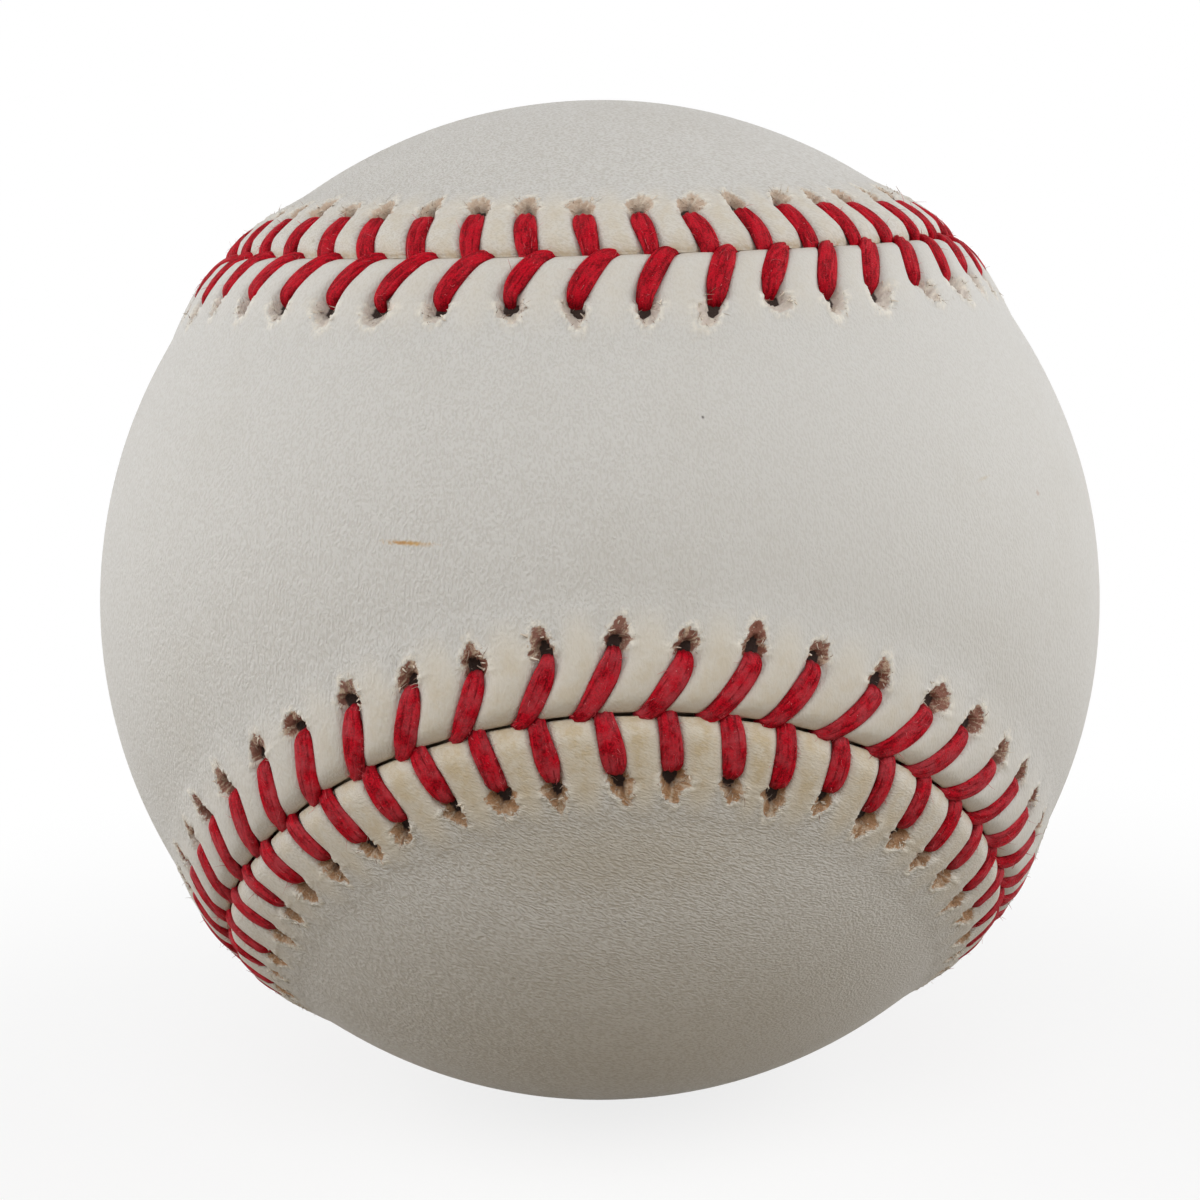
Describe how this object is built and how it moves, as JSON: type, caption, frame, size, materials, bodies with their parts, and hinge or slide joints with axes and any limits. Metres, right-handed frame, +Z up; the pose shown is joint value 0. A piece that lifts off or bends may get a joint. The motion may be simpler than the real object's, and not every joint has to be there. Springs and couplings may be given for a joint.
{
  "type": "baseball",
  "caption": "Hand-sewn ball with a raised red-stitched seam between two figure-eight leather panels, over wound yarn and a rubber-cased cork centre, for throwing, catching and batting.",
  "frame": {"origin": "centre of the ball", "axes": "+Z up, -Y towards the waist of the front cover panel, which is tipped 20 degrees up from -Y about the X axis as the ball lies in the picture"},
  "size_m": [0.0742, 0.0751, 0.0742],
  "materials": {
    "cork": "matte composition cork",
    "black_rubber": "matte",
    "red_rubber": "matte",
    "grey_wool": "wound yarn",
    "white_wool": "wound yarn",
    "finishing_yarn": "wound yarn",
    "rubber_cement": "dried coat",
    "cover_leather": "matte, fine grain, lightly used",
    "red_thread": "waxed twisted thread"
  },
  "bodies": {
    "root": {"cork_core": "cork", "inner_rubber_upper": "black_rubber", "inner_rubber_lower": "black_rubber", "inner_rubber_gasket": "red_rubber", "outer_rubber_right": "red_rubber", "outer_rubber_left": "red_rubber", "first_winding": "grey_wool", "second_winding": "white_wool", "third_winding": "grey_wool", "finishing_winding": "finishing_yarn", "adhesive_coat": "rubber_cement", "front_cover_panel": "cover_leather", "rear_cover_panel": "cover_leather", "seam_thread": "red_thread"}
  },
  "joints": []
}
